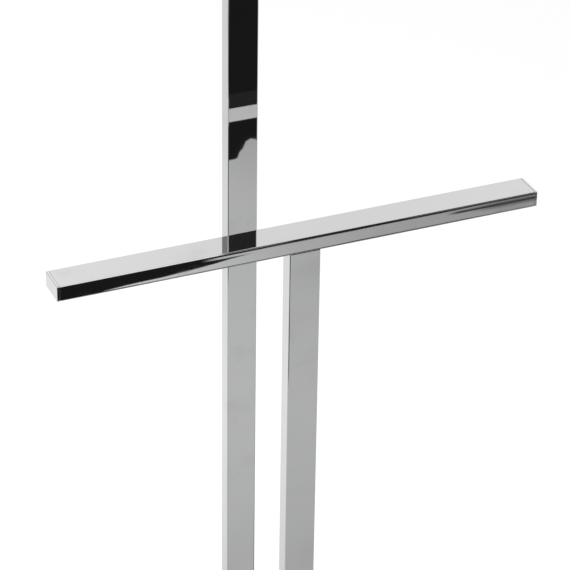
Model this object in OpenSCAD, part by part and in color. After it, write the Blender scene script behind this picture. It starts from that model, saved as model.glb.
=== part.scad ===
// Valet stand: two T-shaped stands of rectangular tube on one base plate.
// The low T at the front carries trousers over its crossbar, the tall T behind it a jacket.
// Each T is pulled together by one long tie rod that runs down inside its upright,
// from a rivet nut in the crossbar to a hex nut sunk into the underside of the plate.
// Millimetres. Z is up, X runs along the crossbars, -Y is the front. The origin is on the
// floor, below the middle of the base plate.

/* [Tube] */
// Wide side of the tube: a crossbar's depth and an upright's width
tube_w = 30; // [27:1:40]
// Narrow side of the tube: a crossbar's height and an upright's depth
tube_t = 15; // [14.5:0.5:20]
// Wall of the tube
tube_wall = 1.5; // [1:0.1:1.8]
// Outer corner radius of the tube
tube_r = 1; // [0.9:0.1:3]

/* [Crossbars] */
// Length of a crossbar over both end caps
crossbar_len = 464; // [300:2:600]
// Height of the front crossbar's top above the floor
front_top = 780; // [600:5:900]
// Height of the rear crossbar's top above the floor
rear_top = 1050; // [950:5:1300]
// Distance between the front faces of the two crossbars
crossbar_pitch = 146; // [80:1:180]

/* [End caps] */
// Thickness of the part of a cap that shows
cap_t = 2.5; // [1.5:0.1:5]
// Chamfer around a cap's outer face
cap_chamfer = 0.4; // [0.2:0.1:0.8]
// Depth of a cap's plug inside the tube
cap_plug = 14; // [8:1:30]
// Wall of that plug, which is hollow
cap_wall = 2; // [1:0.1:3]

/* [Base plate] */
// Width of the plate
plate_w = 420; // [340:2:560]
// Depth of the plate
plate_d = 280; // [250:2:400]
// Thickness of the plate
plate_t = 8; // [7:0.5:12]
// Corner radius of the plate
plate_r = 12; // [4:1:40]
// Chamfer around the plate's top edge
plate_chamfer = 1; // [0.4:0.1:2]

/* [Feet] */
// Diameter of a foot where it stands on the floor
foot_d = 28; // [22:1:36]
// Diameter of a foot under the plate
foot_top_d = 25; // [20:1:34]
// Height of a foot
foot_h = 8; // [7:0.5:12]
// Chamfer around a foot's lower edge
foot_edge = 1; // [0.5:0.1:2]
// Distance from the plate's edges to a foot's middle
foot_inset = 30; // [20:1:50]
// Depth of the recess that hides the screw head
foot_recess = 4; // [3.2:0.1:5]
// Diameter of that recess
foot_recess_d = 10; // [9:0.5:14]

/* [Foot screws] */
// Shank diameter of a foot screw
screw_d = 4; // [3:0.5:5]
// How deep a foot screw goes into the plate
screw_grip = 5; // [3:0.5:6]
// Head diameter of a foot screw
screw_head_d = 8; // [6:0.5:8.5]
// Head height of a foot screw
screw_head_h = 2.4; // [1.8:0.1:3]
// Rounding of the head's edge, as a chamfer
screw_edge = 0.8; // [0.4:0.1:1.2]
// Width of the cross recess in a foot screw's head
screw_recess_w = 1; // [0.6:0.1:1.4]
// Depth of that recess
screw_recess_depth = 1.2; // [0.6:0.1:1.5]

/* [Locating plugs] */
// Height of the plug in an upright's top end
head_plug_h = 25; // [15:1:50]
// Height of the plug in an upright's bottom end
foot_plug_h = 40; // [15:1:80]
// Diameter of the lugs that stop an upright from turning
lug_d = 4; // [3:0.1:4.5]
// Distance from the tie rod to a lug
lug_offset = 9.6; // [9:0.1:10.2]
// How far a lug stands into the base plate
foot_lug_h = 2.5; // [1.5:0.1:3]

/* [Tie rods] */
// Diameter of a tie rod
rod_d = 6; // [4:0.5:6]
// How far a tie rod reaches past its hex nut
rod_tail = 0.5; // [0.2:0.1:1]
// Chamfer at both ends of a tie rod
rod_chamfer = 0.6; // [0.3:0.1:1]
// Diameter of the pocket under the plate for the nut and its washers
pocket_d = 17; // [15:0.5:20]
// Depth of that pocket
pocket_depth = 4; // [2:0.1:4.4]
// Diameter of both washers
washer_d = 12; // [11:0.1:14]
// Thickness of the flat washer
washer_t = 1.6; // [1:0.1:2]
// Thickness of the spring washer when it is clamped
spring_washer_t = 1.6; // [1:0.1:2]
// Width of the split in the spring washer
spring_washer_split = 1; // [0.5:0.1:2]
// Hex nut, across its flats
nut_af = 10; // [9:0.5:11]
// Height of the hex nut
nut_h = 5; // [3:0.1:5.5]

/* [Rivet nuts] */
// Outer diameter of a rivet nut's barrel
rivet_barrel_d = 9; // [8.4:0.1:9.6]
// How far the barrel stands into the crossbar above its lower wall
rivet_barrel_h = 8.5; // [5:0.1:9]
// Height of the bulge that grips the wall from above
rivet_bulge_h = 2; // [1:0.1:3]
// Diameter of the rivet nut's thin head
rivet_head_d = 10.4; // [10:0.1:10.8]
// Thickness of that head
rivet_head_t = 0.8; // [0.5:0.1:1.2]

/* [Clearances] */
// Gap on each side between a plug and the inside of its tube
plug_gap = 0.1; // [0.05:0.01:0.2]
// Gap around a lug, rod, barrel or screw in its hole
hole_gap = 0.05; // [0.02:0.01:0.1]
// Gap around a tie rod where it only passes through
rod_way_gap = 0.3; // [0.1:0.1:0.5]
// Space past the end of a lug or screw in its blind hole
blind_gap = 0.2; // [0.1:0.1:0.5]

/* [Hidden] */
$fn = 64;
chromed = "silver";
plated = "lightgray";
moulded = [0.16, 0.16, 0.17];
black_rubber = [0.08, 0.08, 0.08];
over = 1; // how far a cut runs past the face it opens, and a lug into its own plug

// Inside of the tube
bore_w = tube_w - 2 * tube_wall;
bore_t = tube_t - 2 * tube_wall;
bore_r = max(tube_r - tube_wall, 0.1);

// The plugs fill that bore but for their gap
plug_w = bore_w - 2 * plug_gap;
plug_t = bore_t - 2 * plug_gap;

// Crossbars: tube between two caps, the front pair set evenly about the plate's middle
tube_len = crossbar_len - 2 * cap_t;
front_y = -(crossbar_pitch + tube_w) / 2;
rear_y = front_y + crossbar_pitch;

// Threads are plain: a close bore where they hold, a wide way where a rod only passes
thread_d = rod_d + 2 * hole_gap;
rod_way_d = rod_d + 2 * rod_way_gap;

// Heights
plate_z = foot_h;
plate_top = plate_z + plate_t;
pocket_top = plate_z + pocket_depth;
washer_z = pocket_top - washer_t;
spring_washer_z = washer_z - spring_washer_t;
nut_z = spring_washer_z - nut_h;
rod_z = nut_z - rod_tail;

// Feet and their screws
foot_x = plate_w / 2 - foot_inset;
foot_y = plate_d / 2 - foot_inset;
foot_places = [
    ["front_left", [-foot_x, -foot_y]],
    ["front_right", [foot_x, -foot_y]],
    ["rear_left", [-foot_x, foot_y]],
    ["rear_right", [foot_x, foot_y]],
];

// ---- Shapes that several pieces share ----

// Rectangle with round corners, centred on the origin
module rounded_rect(w, d, r) {
    square([w - 2 * r, d], center = true);
    square([w, d - 2 * r], center = true);
    for (x = [-1, 1], y = [-1, 1])
        translate([x * (w / 2 - r), y * (d / 2 - r)])
            circle(r);
}

// Outline of the tube's wall, wide side along X
module tube_ring() {
    difference() {
        rounded_rect(tube_w, tube_t, tube_r);
        rounded_rect(bore_w, bore_t, bore_r);
    }
}

// Plate with round corners and a chamfer all around its top face
module chamfered_plate(w, d, h, r, chamfer) {
    hull() {
        linear_extrude(h - chamfer)
            rounded_rect(w, d, r, $fn = 32);
        linear_extrude(h)
            rounded_rect(w - 2 * chamfer, d - 2 * chamfer, r - chamfer, $fn = 32);
    }
}

// The two lugs of a plug, or the two holes they fit
module lug_pair(d, h) {
    for (side = [-1, 1])
        translate([side * lug_offset, 0, 0])
            cylinder(d = d, h = h);
}

// Ring around Z
module ring(outer_d, inner_d, h) {
    difference() {
        cylinder(d = outer_d, h = h);
        translate([0, 0, -over])
            cylinder(d = inner_d, h = h + 2 * over);
    }
}

// Puts its children on an upright's axis, for the T whose crossbar's front face is at face_y
module on_axis(face_y, z) {
    translate([0, face_y + tube_t / 2, z])
        children();
}

// ---- The pieces of one T: face_y is its crossbar's front face, top its crossbar's top ----

// Upright: tube that stands on the plate, flush with the front of its crossbar
module upright(face_y, top) {
    color(chromed)
        on_axis(face_y, plate_top)
            linear_extrude(top - tube_t - plate_top)
                tube_ring();
}

// Crossbar: tube laid flat, its lower wall pierced for the rivet nut and the plug's lugs
module crossbar(face_y, top) {
    color(chromed)
        difference() {
            translate([0, face_y + tube_w / 2, top - tube_t / 2])
                rotate([90, 0, 90])
                    linear_extrude(tube_len, center = true)
                        tube_ring();
            on_axis(face_y, top - tube_t - over) {
                cylinder(d = rivet_barrel_d + 2 * hole_gap, h = tube_wall + 2 * over);
                lug_pair(lug_d + 2 * hole_gap, tube_wall + 2 * over);
            }
        }
}

// End cap: a plate as large as the tube with a plug that fits inside it; side is -1 or 1
module end_cap(face_y, top, side) {
    color(plated)
        translate([side * tube_len / 2, face_y + tube_w / 2, top - tube_t / 2])
            rotate([90, 0, side * 90]) {
                chamfered_plate(tube_w, tube_t, cap_t, tube_r, cap_chamfer);
                translate([0, 0, -cap_plug])
                    linear_extrude(cap_plug + cap_t / 2)
                        difference() {
                            rounded_rect(plug_w, plug_t, bore_r);
                            square([plug_w - 2 * cap_wall, plug_t - 2 * cap_wall], center = true);
                        }
            }
}

// Head plug: sits in an upright's top end, its lugs stand in the crossbar's lower wall
module head_plug(face_y, top) {
    color(moulded)
        on_axis(face_y, top - tube_t)
            difference() {
                union() {
                    translate([0, 0, -head_plug_h])
                        linear_extrude(head_plug_h)
                            rounded_rect(plug_w, plug_t, bore_r);
                    translate([0, 0, -over])
                        lug_pair(lug_d, tube_wall + over);
                }
                translate([0, 0, -head_plug_h - over])
                    cylinder(d = rod_way_d, h = head_plug_h + 2 * over);
                translate([0, 0, -rivet_head_t - hole_gap])
                    cylinder(d = rivet_head_d + 2 * hole_gap, h = rivet_head_t + over);
            }
}

// Foot plug: sits in an upright's bottom end, its lugs stand in the base plate
module foot_plug(face_y) {
    color(moulded)
        on_axis(face_y, plate_top)
            difference() {
                union() {
                    linear_extrude(foot_plug_h)
                        rounded_rect(plug_w, plug_t, bore_r);
                    translate([0, 0, -foot_lug_h])
                        lug_pair(lug_d, foot_lug_h + over);
                }
                translate([0, 0, -over])
                    cylinder(d = rod_way_d, h = foot_plug_h + 2 * over);
            }
}

// Tie rod: round bar with chamfered ends, from below its nut to the rivet nut's far end
module tie_rod(face_y, top) {
    length = top - tube_t + tube_wall + rivet_barrel_h - rod_z;
    tip_r = rod_d / 2 - rod_chamfer;
    color(plated)
        on_axis(face_y, rod_z)
            rotate_extrude()
                polygon([
                    [0, 0],
                    [tip_r, 0],
                    [rod_d / 2, rod_chamfer],
                    [rod_d / 2, length - rod_chamfer],
                    [tip_r, length],
                    [0, length],
                ]);
}

// Rivet nut: thin head below the crossbar's lower wall, barrel through it, bulge above it
module rivet_nut(face_y, top) {
    color(plated)
        on_axis(face_y, top - tube_t)
            difference() {
                union() {
                    translate([0, 0, -rivet_head_t])
                        cylinder(d = rivet_head_d, h = rivet_head_t);
                    cylinder(d = rivet_barrel_d, h = tube_wall + rivet_barrel_h);
                    translate([0, 0, tube_wall])
                        cylinder(d = rivet_head_d, h = rivet_bulge_h);
                }
                translate([0, 0, -rivet_head_t - over])
                    cylinder(d = thread_d, h = rivet_head_t + tube_wall + rivet_barrel_h + 2 * over);
            }
}

// Flat washer: bears on the ceiling of the plate's pocket
module flat_washer(face_y) {
    color(plated)
        on_axis(face_y, washer_z)
            ring(washer_d, rod_way_d, washer_t);
}

// Spring washer: split ring, clamped flat
module spring_washer(face_y) {
    color(plated)
        on_axis(face_y, spring_washer_z)
            difference() {
                ring(washer_d, rod_way_d, spring_washer_t);
                translate([0, -washer_d / 2, spring_washer_t / 2])
                    cube([spring_washer_split, washer_d, spring_washer_t + 2 * over], center = true);
            }
}

// Hex nut: its corners are turned off at both faces
module hex_nut(face_y) {
    corner_d = nut_af / cos(30);
    turned = (corner_d - nut_af) / 2;
    color(plated)
        on_axis(face_y, nut_z)
            difference() {
                intersection() {
                    cylinder(d = corner_d, h = nut_h, $fn = 6);
                    rotate_extrude()
                        polygon([
                            [0, 0],
                            [nut_af / 2, 0],
                            [corner_d / 2, turned],
                            [corner_d / 2, nut_h - turned],
                            [nut_af / 2, nut_h],
                            [0, nut_h],
                        ]);
                }
                translate([0, 0, -over])
                    cylinder(d = thread_d, h = nut_h + 2 * over);
            }
}

// ---- The base ----

// Base plate: pockets for the nuts below, lug holes above, blind holes for the foot screws
module base_plate() {
    color(chromed)
        difference() {
            translate([0, 0, plate_z])
                chamfered_plate(plate_w, plate_d, plate_t, plate_r, plate_chamfer);
            for (face_y = [front_y, rear_y]) {
                on_axis(face_y, plate_z - over) {
                    cylinder(d = pocket_d, h = pocket_depth + over);
                    cylinder(d = rod_way_d, h = plate_t + 2 * over);
                }
                on_axis(face_y, plate_top - foot_lug_h - blind_gap)
                    lug_pair(lug_d + 2 * hole_gap, foot_lug_h + blind_gap + over);
            }
            for (place = foot_places)
                translate([place[1].x, place[1].y, plate_z - over])
                    cylinder(d = screw_d + 2 * hole_gap, h = screw_grip + blind_gap + over);
        }
}

// Foot: turned rubber cone with a recess that hides its screw's head
module foot(place) {
    hole_r = screw_d / 2 + hole_gap;
    recess_r = foot_recess_d / 2;
    color(black_rubber)
        translate([place.x, place.y, 0])
            rotate_extrude()
                polygon([
                    [recess_r, 0],
                    [foot_d / 2 - foot_edge, 0],
                    [foot_d / 2, foot_edge],
                    [foot_top_d / 2, foot_h],
                    [hole_r, foot_h],
                    [hole_r, foot_recess],
                    [recess_r, foot_recess],
                ]);
}

// Foot screw: pan head in the foot's recess, shank up into the plate
module foot_screw(place) {
    color(plated)
        translate([place.x, place.y, foot_recess - screw_head_h])
            difference() {
                union() {
                    cylinder(d1 = screw_head_d - 2 * screw_edge, d2 = screw_head_d, h = screw_edge);
                    translate([0, 0, screw_edge])
                        cylinder(d = screw_head_d, h = screw_head_h - screw_edge);
                    cylinder(d = screw_d, h = screw_head_h + foot_h - foot_recess + screw_grip);
                }
                for (turn = [0, 90])
                    rotate([0, 0, turn])
                        cube([screw_d, screw_recess_w, 2 * screw_recess_depth], center = true);
            }
}

// ---- Nodes ----

base_plate();

upright(front_y, front_top);  // front_upright
crossbar(front_y, front_top);  // front_crossbar
end_cap(front_y, front_top, -1);  // front_left_end_cap
end_cap(front_y, front_top, 1);  // front_right_end_cap
head_plug(front_y, front_top);  // front_head_plug
foot_plug(front_y);  // front_foot_plug
tie_rod(front_y, front_top);  // front_tie_rod
rivet_nut(front_y, front_top);  // front_rivet_nut
flat_washer(front_y);  // front_flat_washer
spring_washer(front_y);  // front_spring_washer
hex_nut(front_y);  // front_hex_nut

upright(rear_y, rear_top);  // rear_upright
crossbar(rear_y, rear_top);  // rear_crossbar
end_cap(rear_y, rear_top, -1);  // rear_left_end_cap
end_cap(rear_y, rear_top, 1);  // rear_right_end_cap
head_plug(rear_y, rear_top);  // rear_head_plug
foot_plug(rear_y);  // rear_foot_plug
tie_rod(rear_y, rear_top);  // rear_tie_rod
rivet_nut(rear_y, rear_top);  // rear_rivet_nut
flat_washer(rear_y);  // rear_flat_washer
spring_washer(rear_y);  // rear_spring_washer
hex_nut(rear_y);  // rear_hex_nut

for (place = foot_places) {
    foot(place[1]);
    foot_screw(place[1]);
}
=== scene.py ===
"""The looks of a chromed valet stand: two T-shaped stands of rectangular tube on one base plate.

Everything is in metres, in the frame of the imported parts: X along the crossbars, -Y the front, Z up.
"""

import math

import bmesh
import bpy
from mathutils import Matrix, Vector


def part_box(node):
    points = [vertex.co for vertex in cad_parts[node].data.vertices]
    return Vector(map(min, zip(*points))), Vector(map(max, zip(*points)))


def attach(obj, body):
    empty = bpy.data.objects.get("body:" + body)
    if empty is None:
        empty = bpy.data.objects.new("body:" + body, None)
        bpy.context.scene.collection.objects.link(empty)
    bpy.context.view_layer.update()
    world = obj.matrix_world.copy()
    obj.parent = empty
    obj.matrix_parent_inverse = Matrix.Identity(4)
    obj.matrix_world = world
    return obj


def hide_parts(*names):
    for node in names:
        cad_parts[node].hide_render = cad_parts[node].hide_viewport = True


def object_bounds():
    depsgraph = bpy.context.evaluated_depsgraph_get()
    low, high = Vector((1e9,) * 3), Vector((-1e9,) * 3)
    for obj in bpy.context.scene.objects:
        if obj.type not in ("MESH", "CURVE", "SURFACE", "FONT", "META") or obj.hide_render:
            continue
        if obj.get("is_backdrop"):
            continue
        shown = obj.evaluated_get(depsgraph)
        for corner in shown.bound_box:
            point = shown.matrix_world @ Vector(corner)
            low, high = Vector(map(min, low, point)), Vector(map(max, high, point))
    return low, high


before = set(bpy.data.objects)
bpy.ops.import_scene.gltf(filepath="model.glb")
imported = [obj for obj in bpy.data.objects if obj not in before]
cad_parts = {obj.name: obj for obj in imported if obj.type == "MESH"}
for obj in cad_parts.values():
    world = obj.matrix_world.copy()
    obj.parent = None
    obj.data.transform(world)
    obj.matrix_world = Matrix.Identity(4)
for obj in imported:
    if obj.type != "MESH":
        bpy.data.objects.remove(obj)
cad_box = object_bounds()
mm = 0.001

# ---- Camera ----
# It stands to the front left of the stand and looks down on the low crossbar through a long lens,
# so that the crossbar fills the picture and both uprights run out of it.

bar_low, bar_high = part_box("front_crossbar")
bar_middle = (bar_low + bar_high) / 2

camera_data = bpy.data.cameras.new("camera")
camera_data.lens = 164.7
camera_data.sensor_width = 36
camera_data.clip_end = 60
camera = bpy.data.objects.new("camera", camera_data)
bpy.context.scene.collection.objects.link(camera)
turn = Matrix.Rotation(math.radians(-23.61), 4, "Z")
nod = Matrix.Rotation(math.radians(90 - 30.22), 4, "X")
lean = Matrix.Rotation(math.radians(0.82), 4, "Z")
eye = bar_middle + Vector((-0.8235, -1.8550, 1.1330))
camera.matrix_world = Matrix.Translation(eye) @ turn @ nod @ lean
bpy.context.scene.camera = camera


# ---- Studio ----
# A wide sheet of white paper runs under the stand and up behind it, in a dark room. Large softboxes hang
# overhead and to the sides. Only metal shows that room: for the eye and for dull surfaces the floor and
# the air are plain white.

def add(tree, kind, feeds=None, **settings):
    """Adds a node; feeds gives each input, by name or number, a value or another node's output."""
    node = tree.nodes.new(kind)
    for name, value in settings.items():
        setattr(node, name, value)
    for socket, value in (feeds or {}).items():
        if isinstance(value, bpy.types.NodeSocket):
            tree.links.new(value, node.inputs[socket])
        else:
            node.inputs[socket].default_value = value
    return node


def calc(tree, operation, *values):
    """One step of arithmetic on values."""
    return add(tree, "ShaderNodeMath", dict(enumerate(values)), operation=operation).outputs[0]


def product(tree, first, *others):
    """All the values multiplied."""
    for other in others:
        first = calc(tree, "MULTIPLY", first, other)
    return first


def highest(tree, first, *others):
    """The highest of the values."""
    for other in others:
        first = calc(tree, "MAXIMUM", first, other)
    return first


def rest_of(tree, value):
    """What a value leaves of 1."""
    return calc(tree, "SUBTRACT", 1.0, value)


def blend(tree, share, first, second):
    """A value that goes from first, at share 0, to second, at share 1."""
    return add(tree, "ShaderNodeMix", {0: share, 2: first, 3: second}).outputs[0]


def rise(tree, value, low, high, bottom=0.0, top=1.0):
    """Turns value into a smooth step from bottom, at low, to top, at high."""
    if low > high:
        low, high, bottom, top = high, low, top, bottom
    feeds = {"Value": value, "From Min": low, "From Max": high, "To Min": bottom, "To Max": top}
    return add(tree, "ShaderNodeMapRange", feeds, interpolation_type="SMOOTHSTEP").outputs["Result"]


def profile(tree, value, points):
    """A value that follows points, (place, level between 0 and 2), in straight lines."""
    low, high = points[0][0], points[-1][0]
    along = add(tree, "ShaderNodeMapRange", {"Value": value, "From Min": low, "From Max": high})
    ramp = add(tree, "ShaderNodeValToRGB", {"Fac": along.outputs["Result"]})
    stops = ramp.color_ramp.elements
    for place, level in points:
        share = (place - low) / (high - low)
        stop = stops[0] if share == 0 else stops[-1] if share == 1 else stops.new(share)
        stop.color = (level / 2, level / 2, level / 2, 1)
    return calc(tree, "MULTIPLY", ramp.outputs["Color"], 2.0)


def grey(tree, value):
    """A value as a colour."""
    return add(tree, "ShaderNodeCombineColor", {0: value, 1: value, 2: value}).outputs[0]


def in_degrees(tree, angle):
    """An angle in degrees."""
    return calc(tree, "MULTIPLY", angle, math.degrees(1))


def heading_of(tree, direction):
    """The compass heading of a direction in degrees, 0 toward the back and 90 to the right."""
    return in_degrees(tree, calc(tree, "ARCTAN2", direction["X"], direction["Y"]))


def round_about(tree, heading):
    """How bright the room is toward a heading: softboxes with darker gaps between them."""
    return profile(
        tree, heading,
        [(-180, 0.30), (-158, 0.34), (-146, 0.95), (-112, 0.80), (-104, 0.22), (-84, 0.26), (-76, 0.92),
         (-45, 1.0), (58, 1.0), (68, 0.30), (84, 0.24), (92, 0.90), (127, 0.98), (134, 0.34), (140, 0.34),
         (147, 0.94), (167, 0.94), (173, 0.30), (180, 0.30)],
    )


def from_metal(tree, ways):
    """1 for rays that a shiny surface sends on, 0 for the eye's own and for a dull surface's."""
    return highest(tree, ways["Is Glossy Ray"], ways["Is Transmission Ray"])


dark_room = 0.012
air_light = 0.86

# The air, by the direction in which a ray leaves
world = bpy.data.worlds.new("studio_air")
bpy.context.scene.world = world
world.use_nodes = True
air = world.node_tree
air.nodes.clear()
ways = add(air, "ShaderNodeLightPath").outputs
direction = add(air, "ShaderNodeTexCoord").outputs["Generated"]
toward = add(air, "ShaderNodeSeparateXYZ", {0: direction}).outputs
heading = heading_of(air, toward)
height = in_degrees(air, calc(air, "ARCSINE", toward["Z"]))
# The paper that rises behind the stand
backdrop = [
    (-40, 0.9), (-31, 0.88), (-27, 0.36), (-17, 0.36), (-12, 0.9), (14, 1.04), (17, 1.015), (22, 0.925),
    (25, 0.905), (29, 0.945), (60, 0.9),
]
paper = product(
    air,
    rise(air, heading, -38, -18),
    rise(air, heading, 62, 50),
    rise(air, height, 52, 44),
    profile(air, heading, backdrop),
)
# A narrow dark lane between the softboxes runs from overhead to the front
off_lane = highest(
    air,
    rise(air, toward["X"], 0.3285, 0.3235),
    rise(air, toward["X"], 0.455, 0.475),
    rise(air, toward["Y"], -0.28, -0.2),
)
# None of them stands before the risen paper
off_paper = highest(
    air,
    rise(air, toward["Y"], 0.50, 0.42),
    rise(air, height, 56, 64),
    rise(air, heading, -30, -37),
    rise(air, heading, 62, 70),
)
boxes = product(
    air,
    off_lane,
    off_paper,
    rise(air, height, 2, 12),
    rise(air, toward["Y"], 0.3, -0.3, 0.66, 1.3),
    highest(air, round_about(air, heading), rise(air, height, 48, 62, 0.0, 0.9)),
)
# The dark room itself is a little paler to the front
dark_air = rise(air, toward["Y"], 0.2, -0.2, dark_room, 0.03)
mirrored = highest(air, paper, boxes, dark_air)
plain = blend(air, ways["Is Camera Ray"], air_light, 1.0)
level = blend(air, from_metal(air, ways), plain, mirrored)
sky = add(air, "ShaderNodeBackground", {"Color": grey(air, level), "Strength": 1.0})
add(air, "ShaderNodeOutputWorld", {"Surface": sky.outputs[0]})

# The floor, by the place where a ray meets it
floor_mesh = bpy.data.meshes.new("floor")
floor_half = 30.0
corners = [(x * floor_half, y * floor_half, 0) for x, y in ((-1, -1), (1, -1), (1, 1), (-1, 1))]
floor_mesh.from_pydata(corners, [], [(0, 1, 2, 3)])
floor = bpy.data.objects.new("floor", floor_mesh)
bpy.context.scene.collection.objects.link(floor)
floor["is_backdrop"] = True

floor_finish = bpy.data.materials.new("floor_paper")
floor_finish.use_nodes = True
tree = floor_finish.node_tree
tree.nodes.clear()
ways = add(tree, "ShaderNodeLightPath").outputs
point = add(tree, "ShaderNodeTexCoord").outputs["Object"]
place = add(tree, "ShaderNodeSeparateXYZ", {0: point}).outputs
across, back = place["X"], place["Y"]
depth = calc(tree, "MULTIPLY", back, -1.0)
far = add(tree, "ShaderNodeVectorMath", {0: point}, operation="LENGTH").outputs["Value"]
heading = heading_of(tree, place)
# The paper's light from its front edge, past the foot of the stand, to far behind it
paper_level = profile(
    tree, back,
    [(-1.36, 0.53), (-1.2, 0.575), (-0.95, 0.62), (-0.7, 0.635), (-0.5, 0.605), (-0.35, 0.55),
     (-0.05, 0.62), (0.4, 0.825), (0.6, 0.94), (0.8, 0.995), (1.0, 0.97), (1.6, 0.85), (3.0, 0.86)],
)
# Along the front edge it falls off to the right
edge_fall = profile(
    tree, across,
    [(0.2, 1.45), (0.36, 1.37), (0.46, 1.13), (0.55, 1.0), (0.7, 0.87), (1.0, 0.7)],
)
edge_fall = blend(tree, rise(tree, back, -1.15, -1.3), 1.0, edge_fall)
# Two sheets meet along the front: the near one ends first, the far one starts at the right
sheet_edge = 0.0005
near_end = profile(
    tree, across,
    [(-1.5, 1.318), (0.2, 1.321), (0.24, 1.3275), (0.27, 1.3305), (0.3, 1.332), (0.33, 1.3332),
     (0.39, 1.338), (0.43, 1.3445), (0.46, 1.3487), (0.485, 1.3505), (0.5, 1.346), (1.5, 1.346)],
)
far_start = profile(
    tree, across,
    [(-1.5, 1.3515), (0.45, 1.3515), (0.485, 1.35), (0.5, 1.345), (1.5, 1.345)],
)
on_near = rise(tree, calc(tree, "SUBTRACT", depth, near_end), sheet_edge, -sheet_edge)
# As seen from higher up, the far one bulges
straight_end = 1.3568
from_high = product(tree, rise(tree, ways["Ray Length"], 1.61, 1.67), rise(tree, across, 0.75, 0.70))
bulge = profile(
    tree, across,
    [(0.54, straight_end), (0.555, 1.344), (0.565, 1.343), (0.575, 1.349), (0.585, 1.365),
     (0.595, 1.3755), (0.61, 1.3975), (0.62, 1.4035), (0.625, 1.4), (0.64, straight_end)],
)
far_end = blend(tree, from_high, straight_end, bulge)
on_far = product(
    tree,
    rise(tree, across, 0.395, 0.432),
    rise(tree, calc(tree, "SUBTRACT", depth, far_end), sheet_edge, -sheet_edge),
    rise(tree, calc(tree, "SUBTRACT", depth, far_start), -sheet_edge, sheet_edge),
)
# A soft dark streak crosses the far one near its right end, and a crack runs before it
core = product(tree, rise(tree, depth, 1.3435, 1.347), rise(tree, depth, 1.3555, 1.3485))
halo = product(tree, rise(tree, depth, 1.333, 1.352), rise(tree, depth, 1.3595, 1.3475))
halo = product(tree, halo, rise(tree, across, 0.83, 0.88))
streak = product(tree, highest(tree, core, halo), 0.9)
streak = product(tree, streak, rise(tree, across, 0.795, 0.822))
crack = product(
    tree, rise(tree, depth, 1.3222, 1.3232), rise(tree, depth, 1.3272, 1.3262), rest_of(tree, from_high)
)
on_paper = product(tree, highest(tree, on_near, on_far), rest_of(tree, streak), rest_of(tree, crack))
# As seen from the front upright it is a little darker
reach = calc(tree, "MULTIPLY_ADD", ways["Ray Length"], -0.78, depth)
from_front = profile(
    tree, depth,
    [(0.3, 1.0), (0.5, 0.84), (0.6, 0.83), (0.9, 0.94), (1.1, 0.97), (1.2, 0.95), (1.28, 0.91),
     (1.31, 1.0)],
)
from_front = blend(tree, rise(tree, reach, 0.0, 0.05), 1.0, from_front)
# Toward the front left it ends in a round corner, 1.1 m from the middle of the stand
past_front_left = rise(tree, heading, -133, -127)
to_right = calc(tree, "MULTIPLY_ADD", rise(tree, back, -1.26, -1.24), -0.22, across)
corner = highest(
    tree,
    rise(tree, far, 1.125, 1.06),
    rise(tree, to_right, 0.10, 0.16),
    product(tree, past_front_left, rise(tree, heading, 100, 90)),
)
# Its left end has a wing that reaches further, from beside the stand to 1.4 m behind it
left_wing = product(tree, past_front_left, rise(tree, across, -2.0, -1.9), rise(tree, back, 1.5, 1.3))
left_end = highest(tree, rise(tree, across, -1.08, -1.04), left_wing)
# A painted shadow of the stand lies on it as a dark patch, seen only in the metal, from under the middle of
# the stand far to the right
painted_stand_shadow = product(
    tree,
    rise(tree, across, 0.0, 0.03),
    rise(tree, across, 1.4, 1.3),
    rise(tree, back, -0.33, -0.28),
    rise(tree, back, 0.72, 0.66),
    0.95,
)
paper = product(
    tree, paper_level, edge_fall, from_front, on_paper, corner, left_end,
    rise(tree, across, 2.2, 2.0), rest_of(tree, painted_stand_shadow),
)
# Far out, the softboxes' own light on the floor, but for a lane to the front right
slanted = calc(tree, "MULTIPLY_ADD", back, 0.38, across)
lane = highest(
    tree,
    rise(tree, slanted, 0.45, 0.65),
    rise(tree, slanted, -0.06, -0.11),
    rise(tree, back, -0.4, 0.0),
)
outer = product(
    tree,
    rise(tree, far, 1.75, 2.3),
    lane,
    rise(tree, far, 3, 12, 0.80, 0.45),
    round_about(tree, heading),
)
# A darker stretch far behind the stand
stretch = product(tree, rise(tree, back, 2.1, 2.3), rise(tree, back, 3.4, 2.9), 0.93)
lit = product(tree, highest(tree, paper, outer), rest_of(tree, stretch))
mirrored = highest(tree, lit, dark_room)
mirror_view = add(tree, "ShaderNodeEmission", {"Color": grey(tree, mirrored), "Strength": 1.0})
own_glow = add(tree, "ShaderNodeEmission", {"Color": (1, 1, 1, 1), "Strength": 0.35})
matt = add(tree, "ShaderNodeBsdfDiffuse", {"Color": (0.66, 0.66, 0.66, 1)})
eye_view = add(tree, "ShaderNodeAddShader", {0: matt.outputs[0], 1: own_glow.outputs[0]})
both = add(
    tree, "ShaderNodeMixShader",
    {0: from_metal(tree, ways), 1: eye_view.outputs[0], 2: mirror_view.outputs[0]},
)
add(tree, "ShaderNodeOutputMaterial", {"Surface": both.outputs[0]})
floor_mesh.materials.append(floor_finish)

# One real softbox lights the dull surfaces; metal doesn't show it
softbox = bpy.data.lights.new("softbox", "AREA")
softbox.shape = "RECTANGLE"
softbox.size = 1.6
softbox.size_y = 1.2
softbox.energy = 26
lamp = bpy.data.objects.new("softbox", softbox)
bpy.context.scene.collection.objects.link(lamp)
hung_at = Vector((-1.2, 0.6, 2.6))
lit_spot = Vector((0, 0, 0.7))
facing = (hung_at - lit_spot).to_track_quat("Z", "Y").to_matrix().to_4x4()
lamp.matrix_world = Matrix.Translation(hung_at) @ facing
lamp.visible_glossy = False

bpy.context.scene.view_settings.view_transform = "Standard"


# ---- Base plate ----
# One heavy steel plate with round corners, its edges eased by grinding, then polished and chromed.
# Both uprights stand on it. Underneath, two sunk pockets take the nuts and four blind holes the feet.

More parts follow.
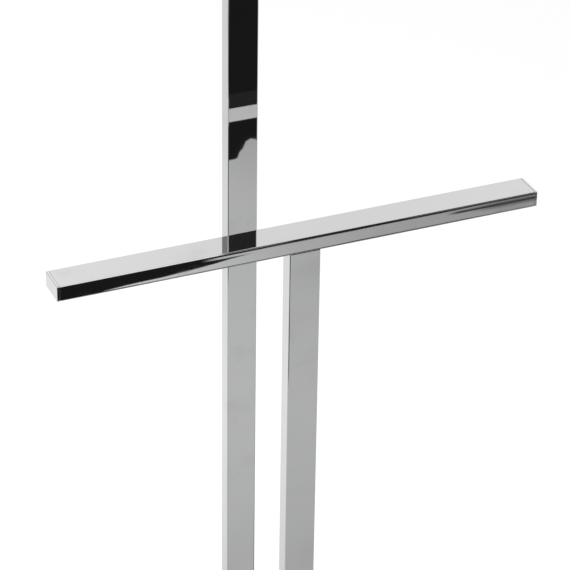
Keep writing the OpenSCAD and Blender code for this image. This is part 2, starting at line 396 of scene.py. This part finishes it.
def group_sockets(tree, inputs, outputs):
    """Gives a node group its named sockets: inputs maps a name to (kind, value), outputs to a kind."""
    for name, (kind, value) in inputs.items():
        socket = tree.interface.new_socket(name, in_out="INPUT", socket_type="NodeSocket" + kind)
        if value is not None:
            socket.default_value = value
    for name, kind in outputs.items():
        tree.interface.new_socket(name, in_out="OUTPUT", socket_type="NodeSocket" + kind)


def polish_group():
    """Surface of a plated metal: slow waves, fine polishing lines, and patches dulled by handling."""
    tree = bpy.data.node_groups.new("plated_polish", "ShaderNodeTree")
    group_sockets(
        tree,
        {
            "Wave scale": ("Vector", (30.0, 30.0, 12.0)),
            "Wave height": ("Float", 0.0),
            "Line scale": ("Vector", (600.0, 600.0, 12.0)),
            "Line height": ("Float", 0.0),
            "Patch scale": ("Float", 22.0),
            "Smooth roughness": ("Float", 0.014),
            "Dull roughness": ("Float", 0.028),
        },
        {"Roughness": "Float", "Dullness": "Float", "Normal": "Vector"},
    )
    given = add(tree, "NodeGroupInput").outputs
    point = add(tree, "ShaderNodeTexCoord").outputs["Object"]
    normal = None
    for kind, detail in (("Wave", 0.0), ("Line", 3.0)):
        stretched = add(
            tree, "ShaderNodeVectorMath", {0: point, 1: given[kind + " scale"]}, operation="MULTIPLY"
        )
        relief = add(
            tree, "ShaderNodeTexNoise", {"Vector": stretched.outputs[0], "Scale": 1.0, "Detail": detail}
        )
        feeds = {"Height": relief.outputs[0], "Distance": given[kind + " height"]}
        if normal is not None:
            feeds["Normal"] = normal
        normal = add(tree, "ShaderNodeBump", feeds).outputs[0]
    patches = add(
        tree, "ShaderNodeTexNoise",
        {"Vector": point, "Scale": given["Patch scale"], "Detail": 4.0, "Roughness": 0.62},
    )
    dullness = rise(tree, patches.outputs[0], 0.50, 0.72)
    roughness = blend(tree, dullness, given["Smooth roughness"], given["Dull roughness"])
    add(tree, "NodeGroupOutput", {"Roughness": roughness, "Dullness": dullness, "Normal": normal})
    return tree


plated_polish = polish_group()


def plated_metal(name, bright, dull, polish):
    """A plated metal: bright where it is clean, a little duller in patches; polish sets the group."""
    material = bpy.data.materials.new(name)
    material.use_nodes = True
    tree = material.node_tree
    tree.nodes.clear()
    group = add(tree, "ShaderNodeGroup", polish, node_tree=plated_polish)
    tint = add(
        tree, "ShaderNodeMix",
        {0: group.outputs["Dullness"], 6: (*bright, 1), 7: (*dull, 1)},
        data_type="RGBA",
    )
    metal = add(
        tree, "ShaderNodeBsdfPrincipled",
        {
            "Base Color": tint.outputs[2],
            "Metallic": 1.0,
            "Roughness": group.outputs["Roughness"],
            "Normal": group.outputs["Normal"],
        },
    )
    add(tree, "ShaderNodeOutputMaterial", {"Surface": metal.outputs[0]})
    return material


def round_rectangle(width, depth, corner, steps=8):
    """Outline of a rectangle with round corners, centred, counterclockwise."""
    points = []
    for quarter, (x, y) in enumerate(((1, 1), (-1, 1), (-1, -1), (1, -1))):
        centre = Vector((x * (width / 2 - corner), y * (depth / 2 - corner)))
        for step in range(steps + 1):
            angle = math.radians(90) * (quarter + step / steps)
            points.append(centre + corner * Vector((math.cos(angle), math.sin(angle))))
    return points


def round_off(radius, steps=4):
    """An edge's rounding, as (how far in, how far along) from the side to the face."""
    angles = (math.radians(90) * step / steps for step in range(steps + 1))
    return [(radius * (1 - math.cos(angle)), radius * math.sin(angle)) for angle in angles]


def skin(name, loops, finish, place=Matrix.Identity(4)):
    """Covers a stack of loops with as many points each, and closes it over the first and the last."""
    shape = bmesh.new()
    rings = [[shape.verts.new(place @ Vector(point)) for point in loop] for loop in loops]
    for lower, upper in zip(rings, rings[1:]):
        for i in range(len(lower)):
            shape.faces.new((lower[i - 1], lower[i], upper[i], upper[i - 1]))
    shape.faces.new(rings[0][::-1])
    shape.faces.new(rings[-1])
    bmesh.ops.recalc_face_normals(shape, faces=shape.faces)
    mesh = bpy.data.meshes.new(name)
    shape.to_mesh(mesh)
    shape.free()
    mesh.materials.append(finish)
    piece = bpy.data.objects.new(name, mesh)
    bpy.context.scene.collection.objects.link(piece)
    return piece


def settle(piece):
    """Makes a piece's modifiers part of its plain mesh."""
    bpy.context.view_layer.update()
    depsgraph = bpy.context.evaluated_depsgraph_get()
    mesh = bpy.data.meshes.new_from_object(piece.evaluated_get(depsgraph), depsgraph=depsgraph)
    mesh.name = piece.name
    piece.modifiers.clear()
    piece.data = mesh


def drill(piece, holes):
    """Cuts upright round holes, each (middle of its lower end, radius, depth), out of a piece."""
    shape = bmesh.new()
    for start, radius, depth in holes:
        middle = Matrix.Translation(Vector(start) + Vector((0, 0, depth / 2)))
        bmesh.ops.create_cone(
            shape, cap_ends=True, segments=48, radius1=radius, radius2=radius, depth=depth, matrix=middle
        )
    mesh = bpy.data.meshes.new("drill")
    shape.to_mesh(mesh)
    shape.free()
    tool = bpy.data.objects.new("drill", mesh)
    bpy.context.scene.collection.objects.link(tool)
    cut = piece.modifiers.new("holes", "BOOLEAN")
    cut.object = tool
    cut.operation = "DIFFERENCE"
    cut.solver = "EXACT"
    cut.use_self = True
    settle(piece)
    bpy.data.objects.remove(tool)


def smooth_but_flat(piece):
    """Smooth shading that leaves the broad faces truly flat and the hard edges crisp."""
    for polygon in piece.data.polygons:
        polygon.use_smooth = True
    piece.data.set_sharp_from_angle(angle=math.radians(50))
    flat = piece.modifiers.new("flat_faces", "WEIGHTED_NORMAL")
    flat.keep_sharp = True
    flat.weight = 100
    flat.thresh = 0


def dress(piece, slot, *nodes):
    """Lets a piece stand for its CAD nodes and ride with the stand. The slot is not used."""
    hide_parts(*nodes)
    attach(piece, "root")


plate_chrome = plated_metal(
    "plate_chrome",
    bright=(0.705, 0.708, 0.712),
    dull=(0.690, 0.693, 0.698),
    polish={
        "Wave scale": (9.0, 9.0, 9.0),
        "Wave height": 0.05 * mm,
        "Line scale": (14.0, 700.0, 700.0),
        "Line height": 0.0004 * mm,
    },
)
plate_corner = 12 * mm
plate_lower_edge = 0.5 * mm
plate_upper_edge = 1.2 * mm
hole_gap = 0.05 * mm
hole_room = 0.2 * mm
pocket_radius = 8.5 * mm
pocket_depth = 4 * mm
rod_radius = 3 * mm
rod_way_gap = 0.3 * mm
lug_radius = 2 * mm
lug_offset = 9.6 * mm
screw_radius = 2 * mm

low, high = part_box("base_plate")
width, depth, thickness = high - low
stack = []
for inward, along in reversed(round_off(plate_lower_edge)):
    stack.append((inward, low.z + plate_lower_edge - along))
for inward, along in round_off(plate_upper_edge, steps=6):
    stack.append((inward, high.z - plate_upper_edge + along))
loops = []
for inward, z in stack:
    loop = round_rectangle(width - 2 * inward, depth - 2 * inward, plate_corner - inward, steps=16)
    loops.append([(*point, z) for point in loop])
plate = skin("plate", loops, plate_chrome)
holes = []
for side in ("front", "rear"):
    rod_low, rod_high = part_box(side + "_tie_rod")
    axis = (rod_low + rod_high) / 2
    holes.append(((axis.x, axis.y, low.z - mm), pocket_radius, mm + pocket_depth))
    holes.append(((axis.x, axis.y, low.z + 2 * mm), rod_radius + rod_way_gap, thickness))
    lug_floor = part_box(side + "_foot_plug")[0].z - hole_room
    for hand in (-1, 1):
        holes.append(((axis.x + hand * lug_offset, axis.y, lug_floor), lug_radius + hole_gap, 5 * mm))
    for hand in ("left", "right"):
        screw_low, screw_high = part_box(f"{side}_{hand}_foot_screw")
        axis = (screw_low + screw_high) / 2
        grip = screw_high.z + hole_room - low.z
        holes.append(((axis.x, axis.y, low.z - mm), screw_radius + hole_gap, mm + grip))
drill(plate, holes)
smooth_but_flat(plate)
dress(plate, "plate_chrome", "base_plate")


# ---- Feet ----
# Four round feet of black rubber, a little wider at the floor, with upright grip ribs all around
# and grooves in the sole. Each is held by a screw whose head is sunk into the foot.

def tree_input(tree, name):
    """The identifier of a tree's input, which is what a modifier is set by."""
    for socket in tree.interface.items_tree:
        if socket.name == name and socket.in_out == "INPUT":
            return socket.identifier
    raise KeyError(name)


def grow(tree, name, inputs):
    """Runs a geometry tree with these inputs and returns its result as a plain mesh object."""
    piece = bpy.data.objects.new(name, bpy.data.meshes.new(name + "_seed"))
    bpy.context.scene.collection.objects.link(piece)
    modifier = piece.modifiers.new("shape", "NODES")
    modifier.node_group = tree
    for socket, value in inputs.items():
        modifier[tree_input(tree, socket)] = value
    settle(piece)
    return piece


def moulded_material(name, colour, worn, roughness, grain_size, grain_height):
    """A moulded plastic or rubber: even colour with faint paler wear, and a fine moulded grain."""
    material = bpy.data.materials.new(name)
    material.use_nodes = True
    tree = material.node_tree
    tree.nodes.clear()
    point = add(tree, "ShaderNodeTexCoord").outputs["Object"]
    cloud = add(tree, "ShaderNodeTexNoise", {"Vector": point, "Scale": 90.0, "Detail": 5.0})
    grain = add(tree, "ShaderNodeTexVoronoi", {"Vector": point, "Scale": 1 / grain_size})
    wear = rise(tree, cloud.outputs[0], 0.45, 0.75)
    colours = add(
        tree, "ShaderNodeMix", {0: wear, 6: (*colour, 1), 7: (*worn, 1)}, data_type="RGBA"
    )
    bump = add(
        tree, "ShaderNodeBump", {"Height": grain.outputs["Distance"], "Distance": grain_height}
    )
    rough = rise(tree, cloud.outputs[0], 0.3, 0.7, roughness - 0.06, roughness + 0.06)
    shell = add(
        tree, "ShaderNodeBsdfPrincipled",
        {"Base Color": colours.outputs[2], "Roughness": rough, "Normal": bump.outputs[0]},
    )
    add(tree, "ShaderNodeOutputMaterial", {"Surface": shell.outputs[0]})
    return material


foot_rubber = moulded_material(
    "foot_rubber",
    colour=(0.018, 0.018, 0.019),
    worn=(0.045, 0.044, 0.043),
    roughness=0.62,
    grain_size=0.25 * mm,
    grain_height=0.02 * mm,
)


def circle(radius, z, points=96):
    """A level ring of points around the Z axis."""
    turn = 2 * math.pi / points
    return [(radius * math.cos(turn * i), radius * math.sin(turn * i), z) for i in range(points)]


def foot_body():
    """One foot's loops, its sole at z = 0, from (radius, height) points in millimetres."""
    screw_recess = [(2.1, 8.0), (2.1, 4.0), (5.0, 4.0), (5.0, 0.5), (5.5, 0.0)]
    sole = []
    for groove in (7.0, 9.0, 11.0):
        sole += [(groove - 0.5, 0.0), (groove - 0.3, 0.5), (groove + 0.3, 0.5), (groove + 0.5, 0.0)]
    rim = [(12.7, 0.0), (13.2, 0.25), (13.5, 0.7), (13.55, 1.2)]
    side = [(12.1, 7.4), (11.8, 7.8), (11.3, 8.0)]
    return [circle(radius * mm, z * mm) for radius, z in screw_recess + sole + rim + side]


foot_loops = foot_body()
rib_middle = 4.2 * mm
rib_ring = 12.85 * mm


def rib_ring_tree():
    """Upright ribs set around a round foot, each a slim bar that leans in with the foot's side."""
    tree = bpy.data.node_groups.new("foot_ribs", "GeometryNodeTree")
    group_sockets(
        tree,
        {
            "Count": ("Int", 36),
            "Radius": ("Float", 13.1 * mm),
            "Lean": ("Float", 0.2),
            "Rib radius": ("Float", 0.4 * mm),
            "Rib height": ("Float", 5.6 * mm),
            "Place": ("Vector", (0.0, 0.0, 0.0)),
            "Finish": ("Material", None),
        },
        {"Mesh": "Geometry"},
    )
    given = add(tree, "NodeGroupInput").outputs
    around = add(
        tree, "GeometryNodeMeshCircle", {"Vertices": given["Count"], "Radius": given["Radius"]}
    ).outputs[0]
    rib = add(
        tree, "GeometryNodeMeshCylinder",
        {"Vertices": 10, "Radius": given["Rib radius"], "Depth": given["Rib height"]},
    ).outputs[0]
    position = add(tree, "GeometryNodeInputPosition").outputs[0]
    at = add(tree, "ShaderNodeSeparateXYZ", {0: position}).outputs
    lean_back = calc(tree, "MULTIPLY", given["Lean"], -1.0)
    turned = add(
        tree, "ShaderNodeCombineXYZ",
        {"Y": lean_back, "Z": calc(tree, "ARCTAN2", at["Y"], at["X"])},
    ).outputs[0]
    ribs = add(
        tree, "GeometryNodeInstanceOnPoints", {"Points": around, "Instance": rib, "Rotation": turned}
    ).outputs[0]
    real = add(tree, "GeometryNodeRealizeInstances", {"Geometry": ribs}).outputs[0]
    placed = add(
        tree, "GeometryNodeTransform", {"Geometry": real, "Translation": given["Place"]}
    ).outputs[0]
    clad = add(tree, "GeometryNodeSetMaterial", {"Geometry": placed, "Material": given["Finish"]})
    add(tree, "NodeGroupOutput", {"Mesh": clad.outputs[0]})
    return tree


foot_ribs = rib_ring_tree()
screw_zinc = plated_metal(
    "zinc_plate",
    bright=(0.60, 0.61, 0.63),
    dull=(0.50, 0.50, 0.49),
    polish={
        "Line scale": (900.0, 900.0, 900.0),
        "Line height": 0.004 * mm,
        "Patch scale": 260.0,
        "Smooth roughness": 0.26,
        "Dull roughness": 0.42,
    },
)


def refinish(node, finish):
    """Gives a carried-over CAD node its finish."""
    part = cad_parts[node]
    part.data.materials.clear()
    part.data.materials.append(finish)


for name in ("front_left", "front_right", "rear_left", "rear_right"):
    low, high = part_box(name + "_foot")
    centre = (low + high) / 2
    place = Matrix.Translation((centre.x, centre.y, low.z))
    foot = skin(name + "_rubber_foot", foot_loops, foot_rubber, place)
    smooth_but_flat(foot)
    ribs = grow(
        foot_ribs, name + "_foot_ribs",
        {"Place": (centre.x, centre.y, low.z + rib_middle), "Finish": foot_rubber, "Radius": rib_ring},
    )
    dress(foot, "foot_rubber", name + "_foot")
    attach(ribs, "root")
    refinish(name + "_foot_screw", screw_zinc)


# ---- Uprights ----
# Rectangular steel tube, 30 by 15 mm with small round corners, polished along its length and chrome
# plated, which leaves its faces very slightly wavy. Its sawn ends are hidden by the plate and the crossbar.

def section_group():
    """Closed outline of a rectangle with round corners, centred, in the XY plane."""
    tree = bpy.data.node_groups.new("round_cornered_section", "GeometryNodeTree")
    group_sockets(
        tree,
        {
            "Width": ("Float", 30 * mm),
            "Depth": ("Float", 15 * mm),
            "Corner": ("Float", 1 * mm),
            "Steps": ("Int", 10),
        },
        {"Outline": "Geometry"},
    )
    given = add(tree, "NodeGroupInput").outputs
    plain = add(
        tree, "GeometryNodeCurvePrimitiveQuadrilateral",
        {"Width": given["Width"], "Height": given["Depth"]},
    )
    rounded = add(
        tree, "GeometryNodeFilletCurve",
        {"Curve": plain.outputs[0], "Radius": given["Corner"], "Count": given["Steps"]},
        mode="POLY",
    )
    add(tree, "NodeGroupOutput", {"Outline": rounded.outputs[0]})
    return tree


def join(tree, *parts):
    """Joins geometries."""
    node = add(tree, "GeometryNodeJoinGeometry")
    for part in parts:
        tree.links.new(part, node.inputs[0])
    return node.outputs[0]


def stock_tube_tree():
    """A length of tube along Z, turned and then carried to its place."""
    tree = bpy.data.node_groups.new("stock_tube", "GeometryNodeTree")
    group_sockets(
        tree,
        {
            "Width": ("Float", 30 * mm),
            "Depth": ("Float", 15 * mm),
            "Wall": ("Float", 1.5 * mm),
            "Corner": ("Float", 1 * mm),
            "Length": ("Float", 0.5),
            "Turn": ("Vector", (0.0, 0.0, 0.0)),
            "Place": ("Vector", (0.0, 0.0, 0.0)),
            "Finish": ("Material", None),
        },
        {"Mesh": "Geometry"},
    )
    given = add(tree, "NodeGroupInput").outputs
    section = section_group()
    sizes = {name: given[name] for name in ("Width", "Depth", "Corner")}
    outside = add(tree, "GeometryNodeGroup", sizes, node_tree=section).outputs[0]
    two_walls = calc(tree, "MULTIPLY", given["Wall"], 2.0)
    sizes = {name: calc(tree, "SUBTRACT", given[name], two_walls) for name in ("Width", "Depth")}
    bore_corner = calc(tree, "SUBTRACT", given["Corner"], given["Wall"])
    sizes["Corner"] = calc(tree, "MAXIMUM", bore_corner, 0.1 * mm)
    sizes["Steps"] = 4
    inside = add(tree, "GeometryNodeGroup", sizes, node_tree=section).outputs[0]
    wall = add(tree, "GeometryNodeFillCurve", {"Curve": join(tree, inside, outside)}, mode="TRIANGLES")
    up = add(tree, "ShaderNodeCombineXYZ", {"Z": given["Length"]}).outputs[0]
    rising = add(
        tree, "GeometryNodeExtrudeMesh",
        {"Mesh": wall.outputs[0], "Offset": up, "Offset Scale": 1.0, "Individual": False},
        mode="FACES",
    )
    under = add(tree, "GeometryNodeFlipFaces", {"Mesh": wall.outputs[0]})
    shell = join(tree, under.outputs[0], rising.outputs[0])
    closed = add(tree, "GeometryNodeMergeByDistance", {"Geometry": shell, "Distance": 1e-6})
    placed = add(
        tree, "GeometryNodeTransform",
        {"Geometry": closed.outputs[0], "Translation": given["Place"], "Rotation": given["Turn"]},
    )
    real = add(tree, "GeometryNodeRealizeInstances", {"Geometry": placed.outputs[0]}).outputs[0]
    clad = add(tree, "GeometryNodeSetMaterial", {"Geometry": real, "Material": given["Finish"]})
    add(tree, "NodeGroupOutput", {"Mesh": clad.outputs[0]})
    return tree


def ease_edges(piece, width):
    """Rounds a piece's hard edges, as a file or a polishing wheel does."""
    bevel = piece.modifiers.new("eased_edges", "BEVEL")
    bevel.width = width
    bevel.segments = 3
    bevel.limit_method = "ANGLE"
    bevel.angle_limit = math.radians(50)
    settle(piece)


stock_tube = stock_tube_tree()
tube_corner = 1 * mm
tube_wall = 1.5 * mm
upright_chrome = plated_metal(
    "upright_chrome",
    bright=(0.705, 0.708, 0.712),
    dull=(0.660, 0.663, 0.668),
    polish={
        "Wave scale": (30.0, 30.0, 14.0),
        "Wave height": 0.015 * mm,
        "Line scale": (500.0, 500.0, 9.0),
        "Line height": 0.0004 * mm,
    },
)
for side in ("front", "rear"):
    low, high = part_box(side + "_upright")
    upright = grow(
        stock_tube, side + "_upright_tube",
        {
            "Width": high.x - low.x,
            "Depth": high.y - low.y,
            "Wall": tube_wall,
            "Corner": tube_corner,
            "Length": high.z - low.z,
            "Place": ((low.x + high.x) / 2, (low.y + high.y) / 2, low.z),
            "Finish": upright_chrome,
        },
    )
    ease_edges(upright, 0.2 * mm)
    smooth_but_flat(upright)
    dress(upright, "tube_chrome", side + "_upright")


# ---- Crossbars ----
# The same tube laid flat across the top of each upright and polished along its own length.
# Its lower wall is drilled for the rivet nut that holds it down and for two lugs that keep it square.

bar_chrome = plated_metal(
    "bar_chrome",
    bright=(0.705, 0.708, 0.712),
    dull=(0.660, 0.663, 0.668),
    polish={
        "Wave scale": (14.0, 30.0, 30.0),
        "Wave height": 0.008 * mm,
        "Line scale": (8.0, 260.0, 260.0),
        "Line height": 0.0005 * mm,
        "Smooth roughness": 0.01,
        "Dull roughness": 0.022,
    },
)
rivet_barrel_radius = 4.5 * mm
for side in ("front", "rear"):
    low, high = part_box(side + "_crossbar")
    crossbar = grow(
        stock_tube, side + "_crossbar_tube",
        {
            "Width": high.y - low.y,
            "Depth": high.z - low.z,
            "Wall": tube_wall,
            "Corner": tube_corner,
            "Length": high.x - low.x,
            "Turn": (math.pi / 2, 0, math.pi / 2),
            "Place": (low.x, (low.y + high.y) / 2, (low.z + high.z) / 2),
            "Finish": bar_chrome,
        },
    )
    ease_edges(crossbar, 0.12 * mm)
    rod_low, rod_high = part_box(side + "_tie_rod")
    axis = (rod_low + rod_high) / 2
    below = low.z - tube_wall
    through = 3 * tube_wall
    holes = [((axis.x, axis.y, below), rivet_barrel_radius + hole_gap, through)]
    for hand in (-1, 1):
        holes.append(((axis.x + hand * lug_offset, axis.y, below), lug_radius + hole_gap, through))
    drill(crossbar, holes)
    smooth_but_flat(crossbar)
    dress(crossbar, "tube_chrome", side + "_crossbar")


# ---- End caps ----
# A cap closes each end of a crossbar: a small chromed plate as large as the tube, with softly rounded
# edges, and behind it a hollow plug that is pressed into the tube. A fine seam shows where they meet.

cap_chrome = plated_metal(
    "cap_chrome",
    bright=(0.76, 0.76, 0.762),
    dull=(0.72, 0.72, 0.722),
    polish={
        "Wave scale": (60.0, 60.0, 60.0),
        "Wave height": 0.003 * mm,
        "Line scale": (400.0, 400.0, 400.0),
        "Line height": 0.0003 * mm,
        "Smooth roughness": 0.02,
        "Dull roughness": 0.05,
    },
)
cap_thickness = 2.5 * mm
cap_edge = 0.4 * mm
cap_wall = 2 * mm
plug_gap = 0.1 * mm
seam_depth = 0.9 * mm
seam_width = 0.4 * mm
for side in ("front", "rear"):
    bar_low, bar_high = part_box(side + "_crossbar")
    for hand, sign in (("left", -1), ("right", 1)):
        low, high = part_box(f"{side}_{hand}_end_cap")
        length, width, height = high - low
        inset = tube_wall + plug_gap
        deep = cap_thickness - length
        stack = [
            (inset + cap_wall, 0.1 * mm, 0),
            (inset + cap_wall, 0.1 * mm, deep),
            (inset, 0.5 * mm, deep),
            (inset, 0.5 * mm, 0),
            (seam_depth, tube_corner - seam_depth, 0),
            (seam_depth, tube_corner - seam_depth, seam_width),
            (0.06 * mm, tube_corner - 0.06 * mm, seam_width + 0.02 * mm),
            (0, tube_corner, seam_width + 0.08 * mm),
        ]
        for inward, along in round_off(cap_edge, steps=5):
            stack.append((inward, tube_corner - inward, cap_thickness - cap_edge + along))
        turned = Matrix.Rotation(math.pi / 2, 4, "X")
        turned = Matrix.Rotation(sign * math.pi / 2, 4, "Z") @ turned
        start = (sign * bar_high.x, (low.y + high.y) / 2, (low.z + high.z) / 2)
        loops = []
        for inward, rounding, along in stack:
            loop = round_rectangle(width - 2 * inward, height - 2 * inward, rounding)
            loops.append([(*point, along) for point in loop])
        cap = skin(f"{side}_{hand}_cap", loops, cap_chrome, Matrix.Translation(start) @ turned)
        smooth_but_flat(cap)
        dress(cap, "cap_chrome", f"{side}_{hand}_end_cap")


# ---- Locating plugs ----
# Solid blocks of black nylon, pushed into both ends of each upright, with two lugs each that fit the
# crossbar or the plate and stop the upright from turning. The tie rod runs through their middle.

plug_nylon = moulded_material(
    "plug_nylon",
    colour=(0.022, 0.022, 0.024),
    worn=(0.040, 0.040, 0.042),
    roughness=0.45,
    grain_size=0.4 * mm,
    grain_height=0.01 * mm,
)
for side in ("front", "rear"):
    for end in ("head", "foot"):
        refinish(f"{side}_{end}_plug", plug_nylon)


# ---- Tie rods and their nuts ----
# One long zinc-plated rod in each upright draws the crossbar down onto it: it screws into a rivet nut
# in the crossbar, and below the plate a hex nut on a spring washer and a flat washer pulls it tight.

for side in ("front", "rear"):
    for part in ("tie_rod", "rivet_nut", "flat_washer", "spring_washer", "hex_nut"):
        refinish(f"{side}_{part}", screw_zinc)

boxes = {"cad": [list(p) for p in cad_box], "visual": [list(p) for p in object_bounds()]}
